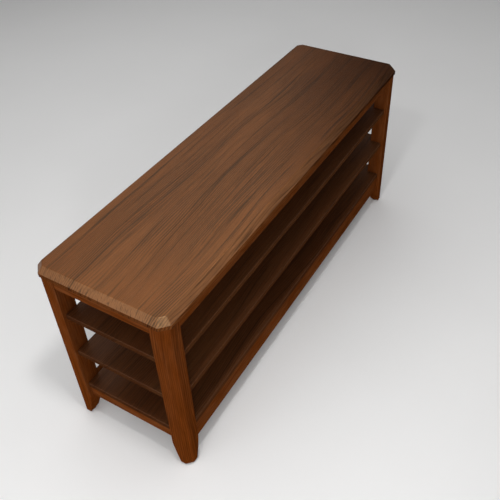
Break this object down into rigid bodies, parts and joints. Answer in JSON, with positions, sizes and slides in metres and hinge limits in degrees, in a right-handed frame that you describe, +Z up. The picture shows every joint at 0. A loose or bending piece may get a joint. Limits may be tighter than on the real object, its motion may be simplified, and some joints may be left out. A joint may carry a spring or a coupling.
{
  "type": "tiered shoe rack",
  "caption": "Long low wooden shoe bench with a bevelled seat slab, square tapered legs with chamfered corners, and open shelves between them.",
  "frame": {"origin": "on the floor, under the middle of the seat", "axes": "+X along the bench, +Y from its open front to its back, +Z up"},
  "size_m": [1.2, 0.35, 0.52],
  "materials": {
    "walnut_seat": "satin lacquer over walnut stain, straight open grain along the length",
    "walnut_frame": "satin lacquer over walnut stain, grain along each piece",
    "walnut_shelf": "satin lacquer over dark walnut stain, grain along the length",
    "beech": "unfinished beech, hidden from view",
    "zinc_steel": "zinc plated",
    "brown_plastic": "moulded, fine matt texture"
  },
  "bodies": {
    "root": {"apron_back": "walnut_frame", "apron_front": "walnut_frame", "apron_left": "walnut_frame", "apron_right": "walnut_frame", "corner_block_back_left": "beech", "corner_block_back_right": "beech", "corner_block_front_left": "beech", "corner_block_front_right": "beech", "corner_bolt_back_left": "zinc_steel", "corner_bolt_back_right": "zinc_steel", "corner_bolt_front_left": "zinc_steel", "corner_bolt_front_right": "zinc_steel", "corner_nut_back_left": "zinc_steel", "corner_nut_back_right": "zinc_steel", "corner_nut_front_left": "zinc_steel", "corner_nut_front_right": "zinc_steel", "foot_glide_back_left": "brown_plastic", "foot_glide_back_right": "brown_plastic", "foot_glide_front_left": "brown_plastic", "foot_glide_front_right": "brown_plastic", "leg_back_left": "walnut_frame", "leg_back_right": "walnut_frame", "leg_front_left": "walnut_frame", "leg_front_right": "walnut_frame", "rail_back": "walnut_frame", "rail_front": "walnut_frame", "rail_left": "walnut_frame", "rail_right": "walnut_frame", "screw_cap_lower_left": "brown_plastic", "screw_cap_lower_right": "brown_plastic", "screw_cap_middle_left": "brown_plastic", "screw_cap_middle_right": "brown_plastic", "screw_cap_upper_left": "brown_plastic", "screw_cap_upper_right": "brown_plastic", "seat_brace": "beech", "seat_screw_back_left": "zinc_steel", "seat_screw_back_right": "zinc_steel", "seat_screw_brace_back": "zinc_steel", "seat_screw_brace_front": "zinc_steel", "seat_screw_front_left": "zinc_steel", "seat_screw_front_right": "zinc_steel", "seat_top": "walnut_seat", "shelf_dowel_lower_left": "beech", "shelf_dowel_lower_right": "beech", "shelf_dowel_middle_left": "beech", "shelf_dowel_middle_right": "beech", "shelf_dowel_upper_left": "beech", "shelf_dowel_upper_right": "beech", "shelf_lower": "walnut_shelf", "shelf_middle": "walnut_shelf", "shelf_screw_lower_left": "zinc_steel", "shelf_screw_lower_right": "zinc_steel", "shelf_screw_middle_left": "zinc_steel", "shelf_screw_middle_right": "zinc_steel", "shelf_screw_upper_left": "zinc_steel", "shelf_screw_upper_right": "zinc_steel", "shelf_upper": "walnut_shelf"}
  },
  "joints": []
}
